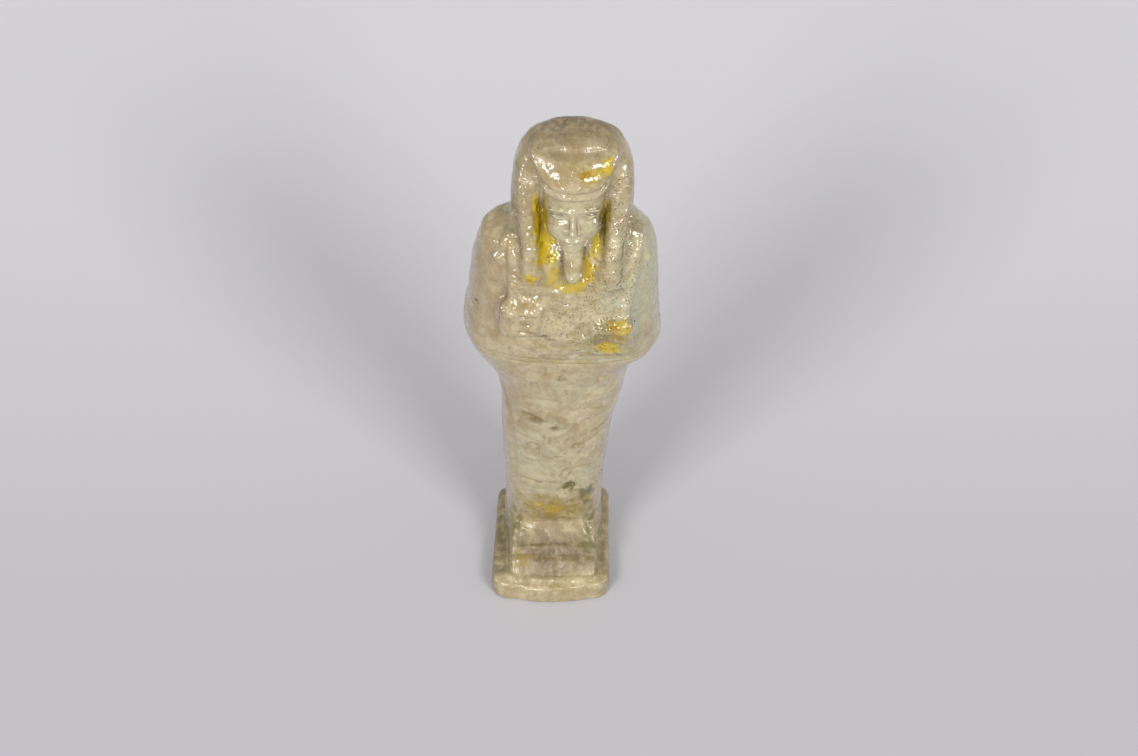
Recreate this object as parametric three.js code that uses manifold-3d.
// A mummiform ushabti figurine of moulded faience: a wrapped figure with a plain long wig, a false beard and
// crossed arms that hold two hoes. A back pillar stands behind it and a plinth is under its feet. It was all
// fired as one piece.
//
// Millimetres, +Z up. The figure looks along -Y and +X is at its left hand. The origin is the middle of the
// plinth's underside. The figure is built upright on the Z axis and then leans on its plinth.
//
// Every form is a closed solid: lofts of oval sections for the body, wig and face, and turned, rounded or
// extruded solids for the rest. They overlap as the modeller's forms do, and are joined into one piece.
import * as THREE from 'three';
import { LoftGeometry } from 'three/addons/geometries/LoftGeometry.js';
import { RoundedBoxGeometry } from 'three/addons/geometries/RoundedBoxGeometry.js';
import { mergeVertices } from 'three/addons/utils/BufferGeometryUtils.js';
import Module from 'manifold-3d';

const { degToRad, lerp } = THREE.MathUtils;
const wasm = await Module();
wasm.setup();

// ---------------------------------------------------------------- driving dimensions

const HEIGHT = 119.8; // underside of the plinth to the crown of the wig
const LEAN = degToRad(2); // how far the figure leans to +X on its plinth
const HEAD_SHIFT = 0.4; // how far the head sits to +X of the body's middle line

const PLINTH = {
  height: 4.6,
  front: -13.6, // at the middle of the bowed front edge
  back: 13.2,
  frontLeft: -12.1, // the sides where they meet the front and the back edge; left is -X
  frontRight: 11.3,
  backLeft: -11.1,
  backRight: 11.2,
  bow: 0.9,
  frontCorner: 3.2,
  backCorner: 1.8,
  bevel: 0.6,
};
const PILLAR = { halfWidth: 5.6, front: 8, back: 12.9, top: 96, edge: 0.8 };

// Wrapped body: level, half width at -X, half width at +X, front, back.
const BODY = [
  [2, 9.7, 9.3, -3.0, 10.6],
  [12, 9.8, 9.2, -3.3, 10.6],
  [19, 10.0, 9.2, -3.9, 10.9],
  [29, 10.7, 9.7, -4.5, 11.1],
  [37, 11.1, 10.1, -5.0, 11.1],
  [44, 11.5, 10.8, -5.4, 11.1],
  [50, 12.0, 12.0, -5.7, 11.1],
  [55, 13.0, 12.6, -6.0, 11.1],
  [59, 14.9, 13.4, -6.3, 11.1],
  [62.5, 17.4, 15.4, -6.7, 11.2],
  [66, 19.2, 18.3, -7.0, 11.3],
  [70, 19.3, 18.3, -7.2, 11.3],
  [77, 18.7, 17.7, -7.2, 11.3],
  [83, 18.3, 17.4, -6.8, 11.2],
  [88, 17.8, 17.0, -6.0, 11.0],
  [92, 17.0, 16.3, -4.9, 10.6],
  [95, 15.6, 15.1, -3.8, 10.0],
  [97.5, 10.8, 12.8, -2.7, 9.2],
  [99.5, 7.2, 9.2, -1.8, 8.4],
  [102, 6.2, 6.0, -1.2, 8.0],
];
const BODY_WIDEST = 4; // how far behind the origin the body is widest
const BODY_SQUARENESS = 2.5;
const BODY_LEVELS = [[2, 46, 12], [46, 66, 10], [66, 86, 8], [86, 102, 10]]; // from, to, steps

// Wig without its front locks, up to where the dome begins: level, half width, front, back.
const WIG = [
  [89.5, 8.8, 5.4, 11.8],
  [92, 9.8, 4.0, 12.4],
  [96, 11.0, 1.8, 12.9],
  [100, 11.6, 0.6, 13.1],
  [105, 11.6, -0.9, 13.0],
  [108, 11.4, -1.6, 12.8],
];
const WIG_WIDEST = 4.8;
const WIG_SQUARENESS = 2.35;
const DOME_SQUARENESS = 2.5;
const DOME_END = 86; // degrees of its quarter turn that the dome covers before it closes flat

// Hair that slopes from the dome to the brow: level, half width, front.
const FRINGE = [
  [112.3, 6.0, -4.7],
  [113, 6.6, -5.1],
  [114.2, 7.3, -4.8],
  [115.4, 7.9, -3.7],
  [116.5, 8.3, -2.1],
  [117.6, 8.2, -0.3],
  [118.1, 7.8, 1.5],
];
const FRINGE_WIDEST = 2.0;
const FRINGE_BACK = 7;

// Face: level, half width, front.
const FACE = [
  [97.0, 1.4, -4.8],
  [98.0, 2.8, -6.0],
  [100, 4.2, -6.2],
  [103, 5.3, -5.9],
  [107, 5.9, -5.4],
  [111, 6.1, -4.9],
  [115, 5.6, -4.0],
];
const FACE_WIDEST = 0.6;
const FACE_BACK = 6;
const FACE_SQUARENESS = 2.2;
const BROW_BAND = { bottom: 111.0, top: 112.7, thickness: 0.8 };
const NOSE = { top: [0, -5.1, 108.4], tip: [0, -6.7, 103.6], topRadius: 0.55, tipRadius: 0.95 };
const EYE = { centre: [2.5, -4.95, 106.4], radii: [1.5, 0.75, 0.7] };
const LIPS = { centre: [0, -6.0, 100.6], radii: [1.8, 0.75, 0.8] };
const BEARD = { top: [0.3, -3.9, 97.8], tip: [0.5, -6.5, 91.9], topRadius: 1.9, tipRadius: 1.8 };

// Front locks of the wig: level, distance to the side, front, back.
const LOCK = [
  [87.6, 7.3, -7.2, -2.8],
  [91, 7.4, -6.9, -1.5],
  [96, 7.7, -5.7, 2.4],
  [101, 8.2, -4.1, 2.8],
  [106, 8.7, -2.4, 2.8],
  [110, 8.8, -0.9, 3.5],
  [113, 8.5, 0.9, 5.3],
  [116, 7.6, 3.2, 7.6],
];
const LOCK_HALF_WIDTH = 2.1;
const LOCK_SQUARENESS = 2.5;

// Arms: each forearm runs from an elbow under the wrappings to the fist on the other side.
const ELBOW = { side: 12.2, front: -1.0, level: 67.2, radius: 4.2 };
const WRIST = { inward: 3.4, behind: 1.9, below: 1.2, radius: 3.2 }; // place of the wrist next to its fist
const FISTS = [
  { centre: [8.9, -6.7, 74.8], size: [8.2, 4.2, 9.2] },
  { centre: [-8.6, -6.9, 79.6], size: [8.2, 4.0, 8.6] },
];
const FIST_ROUNDING = 1.9;

// Hoes: a handle runs from each fist over the shoulder, and a blade opens outward from its top.
const HOES = [
  { top: [13.2, 0.3, 96.0], bend: [12.9, -2.0, 93.3], edge: [15.0, -0.7, 91.5] },
  { top: [-10.9, -0.8, 96.3], bend: [-10.8, -3.3, 93.0], edge: [-13.3, -2.3, 92.0] },
];
const HOE_RADIUS = 0.75;
const GRIP = { outward: 1.6, behind: 0.4, above: 3 }; // place of the handle's lower end in its fist

// Feet under the wrappings, seen from the side: front, level.
const FOOT = {
  halfWidth: 8.8,
  rounding: 1.1,
  outline: [
    [6, 3.4],
    [-11.4, 3.4],
    [-11.5, 6.6],
    [-9.2, 8.5],
    [-7.9, 8.6],
    [-6.9, 9.7],
    [-5.6, 10.0],
    [-4.6, 11.2],
    [-3.2, 12.4],
    [6, 14],
  ],
};

const FAIENCE = new THREE.MeshStandardMaterial({
  name: 'faience',
  color: 0xa89a78,
  roughness: 0.38,
  metalness: 0,
});

// ---------------------------------------------------------------- form makers

// Reads a table of rows [level, ...values] as smooth curves over the level.
function curvesOf(rows) {
  const levels = rows.map(([level]) => level);
  const values = rows.flatMap(([, ...rest]) => rest);
  const cubic = new THREE.CubicInterpolant(levels, values, rows[0].length - 1);
  return (level) => [...cubic.evaluate(level)];
}

const steps = (low, high, count) => Array.from({ length: count + 1 }, (_, i) => lerp(low, high, i / count));
const signedPower = (value, power) => Math.sign(value) * Math.abs(value) ** power;

// One oval section with its own reach to each side, to the front and to the back.
function oval({ level, middle = 0, left, right, front, back, widest, squareness, columns }) {
  return Array.from({ length: columns }, (_, i) => {
    const turn = (2 * Math.PI * i) / columns;
    const across = signedPower(Math.sin(turn), 2 / squareness);
    const along = signedPower(Math.cos(turn), 2 / squareness);
    const x = middle + across * (across < 0 ? left : right);
    const y = widest - along * (along > 0 ? widest - front : back - widest);
    return new THREE.Vector3(x, y, level);
  });
}

const loft = (sections) => new LoftGeometry(sections, { capStart: true, capEnd: true });

const ellipsoid = ([x, y, z], radii, columns = 16) =>
  new THREE.SphereGeometry(1, columns, columns / 2)
    .rotateX(Math.PI / 2)
    .scale(...radii)
    .translate(x, y, z);

// A round-ended limb from one point to another whose radius changes evenly.
function limb(from, to, fromRadius, toRadius, columns = 12) {
  const [start, end] = [new THREE.Vector3(...from), new THREE.Vector3(...to)];
  const length = start.distanceTo(end);
  const arc = steps(0, 1, columns / 4).map((share) => (share * Math.PI) / 2);
  const near = arc.map((a) => new THREE.Vector2(fromRadius * Math.sin(a), -fromRadius * Math.cos(a)));
  const far = arc.map((a) => new THREE.Vector2(toRadius * Math.cos(a), length + toRadius * Math.sin(a)));
  near[0].x = 0;
  far[far.length - 1].x = 0;
  const up = new THREE.Vector3(0, 1, 0);
  const turn = new THREE.Quaternion().setFromUnitVectors(up, end.clone().sub(start).normalize());
  return new THREE.LatheGeometry([...near, ...far], columns).applyQuaternion(turn).translate(...start);
}

const mirrored = ([x, y, z], side) => [side * x, y, z];
const beside = ([x, y, z], across, behind, above) => [x + across, y + behind, z + above];

// ---------------------------------------------------------------- body, feet and arms

function bodyGeometry() {
  const at = curvesOf(BODY);
  const levels = BODY_LEVELS.flatMap(([low, high, count], i) => steps(low, high, count).slice(i ? 1 : 0));
  return loft(
    levels.map((level) => {
      const [left, right, front, back] = at(level);
      const shape = { widest: BODY_WIDEST, squareness: BODY_SQUARENESS, columns: 40 };
      return oval({ level, left, right, front, back, ...shape });
    }),
  );
}

function footGeometry() {
  const { halfWidth, rounding, outline } = FOOT;
  const side = new THREE.Shape(outline.map(([front, level]) => new THREE.Vector2(front, level)));
  return new THREE.ExtrudeGeometry(side, {
    depth: 2 * (halfWidth - rounding),
    bevelThickness: rounding,
    bevelSize: rounding,
    bevelOffset: -rounding,
    bevelSegments: 3,
  })
    .rotateX(Math.PI / 2)
    .rotateZ(Math.PI / 2)
    .translate(rounding - halfWidth, 0, 0);
}

function armGeometries() {
  return FISTS.flatMap(({ centre, size }) => {
    const side = Math.sign(centre[0]);
    const elbow = [-side * ELBOW.side, ELBOW.front, ELBOW.level];
    const wrist = beside(centre, -side * WRIST.inward, WRIST.behind, -WRIST.below);
    return [
      limb(elbow, wrist, ELBOW.radius, WRIST.radius, 16),
      new RoundedBoxGeometry(...size, 2, FIST_ROUNDING).translate(...centre),
    ];
  });
}

function hoeGeometries() {
  return FISTS.flatMap(({ centre }, hand) => {
    const { top, bend, edge } = HOES[hand];
    const grip = beside(centre, Math.sign(centre[0]) * GRIP.outward, GRIP.behind, GRIP.above);
    return [
      limb(grip, bend, HOE_RADIUS, HOE_RADIUS, 8),
      limb(bend, top, HOE_RADIUS, HOE_RADIUS, 8),
      limb(top, edge, HOE_RADIUS, HOE_RADIUS, 8),
    ];
  });
}

// ---------------------------------------------------------------- head

function wigGeometry() {
  const at = curvesOf(WIG);
  const domeStart = WIG[WIG.length - 1][0];
  const section = (level, share) => {
    const [half, front, back] = at(Math.min(level, domeStart));
    return oval({
      level,
      left: half * share,
      right: half * share,
      front: WIG_WIDEST - (WIG_WIDEST - front) * share,
      back: WIG_WIDEST + (back - WIG_WIDEST) * share,
      widest: WIG_WIDEST,
      squareness: WIG_SQUARENESS,
      columns: 32,
    });
  };
  const walls = steps(WIG[0][0], domeStart, 8).map((level) => section(level, 1));
  const dome = steps(0, DOME_END, 10).slice(1).map((degrees) => {
    const rise = Math.sin(degToRad(degrees)) ** (2 / DOME_SQUARENESS);
    const share = Math.cos(degToRad(degrees)) ** (2 / DOME_SQUARENESS);
    return section(lerp(domeStart, HEIGHT, rise), share);
  });
  return loft([...walls, ...dome]);
}

function fringeGeometry() {
  const at = curvesOf(FRINGE);
  return loft(
    steps(FRINGE[0][0], FRINGE[FRINGE.length - 1][0], 10).map((level) => {
      const [half, front] = at(level);
      return oval({
        level,
        left: half,
        right: half,
        front,
        back: FRINGE_BACK,
        widest: FRINGE_WIDEST,
        squareness: WIG_SQUARENESS,
        columns: 32,
      });
    }),
  );
}

function lockGeometry(side) {
  const at = curvesOf(LOCK);
  return loft(
    steps(LOCK[0][0], LOCK[LOCK.length - 1][0], 12).map((level) => {
      const [aside, front, back] = at(level);
      return oval({
        level,
        middle: side * aside,
        left: LOCK_HALF_WIDTH,
        right: LOCK_HALF_WIDTH,
        front,
        back,
        widest: (front + back) / 2,
        squareness: LOCK_SQUARENESS,
        columns: 14,
      });
    }),
  );
}

// Sections of the face between two levels, grown outward by a margin.
function faceSections(low, high, count, margin = 0) {
  const at = curvesOf(FACE);
  return steps(low, high, count).map((level) => {
    const [half, front] = at(level);
    return oval({
      level,
      left: half + margin,
      right: half + margin,
      front: front - margin,
      back: FACE_BACK,
      widest: FACE_WIDEST,
      squareness: FACE_SQUARENESS,
      columns: 24,
    });
  });
}

function headGeometries() {
  const [chin, hairline] = [FACE[0][0], FACE[FACE.length - 1][0]];
  const { bottom, top, thickness } = BROW_BAND;
  const pairs = [1, -1].flatMap((side) => [
    lockGeometry(side),
    ellipsoid(mirrored(EYE.centre, side), EYE.radii, 12),
  ]);
  return [
    wigGeometry(),
    fringeGeometry(),
    loft(faceSections(chin, hairline, 12)),
    loft(faceSections(bottom, top, 1, thickness)),
    limb(NOSE.top, NOSE.tip, NOSE.topRadius, NOSE.tipRadius, 12),
    ellipsoid(LIPS.centre, LIPS.radii, 12),
    limb(BEARD.top, BEARD.tip, BEARD.topRadius, BEARD.tipRadius, 16),
    ...pairs,
  ].map((geometry) => geometry.translate(HEAD_SHIFT, 0, 0));
}

// ---------------------------------------------------------------- plinth and back pillar

function plinthGeometry() {
  const { height, bow, frontCorner, backCorner, bevel } = PLINTH;
  const [frontLeft, backLeft] = [PLINTH.frontLeft + bevel, PLINTH.backLeft + bevel];
  const [frontRight, backRight] = [PLINTH.frontRight - bevel, PLINTH.backRight - bevel];
  const [back, middle] = [PLINTH.back - bevel, PLINTH.front + bevel];
  const front = middle + bow;
  const outline = new THREE.Shape();
  outline.moveTo(frontLeft + frontCorner, front);
  outline.quadraticCurveTo(0, middle - bow, frontRight - frontCorner, front);
  outline.quadraticCurveTo(frontRight, front, frontRight, front + frontCorner);
  outline.lineTo(backRight, back - backCorner);
  outline.quadraticCurveTo(backRight, back, backRight - backCorner, back);
  outline.lineTo(backLeft + backCorner, back);
  outline.quadraticCurveTo(backLeft, back, backLeft, back - backCorner);
  outline.lineTo(frontLeft, front + frontCorner);
  outline.quadraticCurveTo(frontLeft, front, frontLeft + frontCorner, front);
  return new THREE.ExtrudeGeometry(outline, {
    depth: height - 2 * bevel,
    bevelThickness: bevel,
    bevelSize: bevel,
    bevelSegments: 2,
    curveSegments: 6,
  }).translate(0, 0, bevel);
}

function pillarGeometry() {
  const { halfWidth, front, back, top, edge } = PILLAR;
  const bottom = PLINTH.height / 2;
  const outline = new THREE.Shape();
  outline.moveTo(-halfWidth, front);
  outline.lineTo(halfWidth, front);
  outline.lineTo(halfWidth, back - edge);
  outline.lineTo(halfWidth - edge, back);
  outline.lineTo(-halfWidth + edge, back);
  outline.lineTo(-halfWidth, back - edge);
  const slab = new THREE.ExtrudeGeometry(outline, { depth: top - bottom, bevelEnabled: false });
  return slab.translate(0, 0, bottom);
}

// ---------------------------------------------------------------- joining

// A closed geometry as a solid. Seams are merged, and the flat triangles that they leave at poles left out.
function solid(geometry) {
  const bare = new THREE.BufferGeometry().setAttribute('position', geometry.getAttribute('position'));
  if (geometry.index) bare.setIndex(geometry.index);
  const merged = mergeVertices(bare, 1e-4);
  const triangles = [];
  for (let i = 0; i < merged.index.count; i += 3) {
    const corners = [0, 1, 2].map((k) => merged.index.getX(i + k));
    if (new Set(corners).size === 3) triangles.push(...corners);
  }
  return new wasm.Manifold(
    new wasm.Mesh({
      numProp: 3,
      vertProperties: merged.attributes.position.array,
      triVerts: new Uint32Array(triangles),
    }),
  );
}

function geometryOf(manifold) {
  const mesh = manifold.getMesh();
  const geometry = new THREE.BufferGeometry();
  geometry.setAttribute('position', new THREE.BufferAttribute(mesh.vertProperties, 3));
  geometry.setIndex(new THREE.BufferAttribute(mesh.triVerts, 1));
  geometry.computeVertexNormals();
  return geometry;
}

const leaning = [
  bodyGeometry(),
  footGeometry(),
  pillarGeometry(),
  ...armGeometries(),
  ...hoeGeometries(),
  ...headGeometries(),
].map((geometry) => geometry.rotateY(LEAN));
const fired = [plinthGeometry(), ...leaning].map(solid).reduce((whole, form) => whole.add(form));
const ushabti = new THREE.Mesh(geometryOf(fired), FAIENCE);
ushabti.name = 'ushabti';

const group = new THREE.Group();
group.add(ushabti);
export default group;
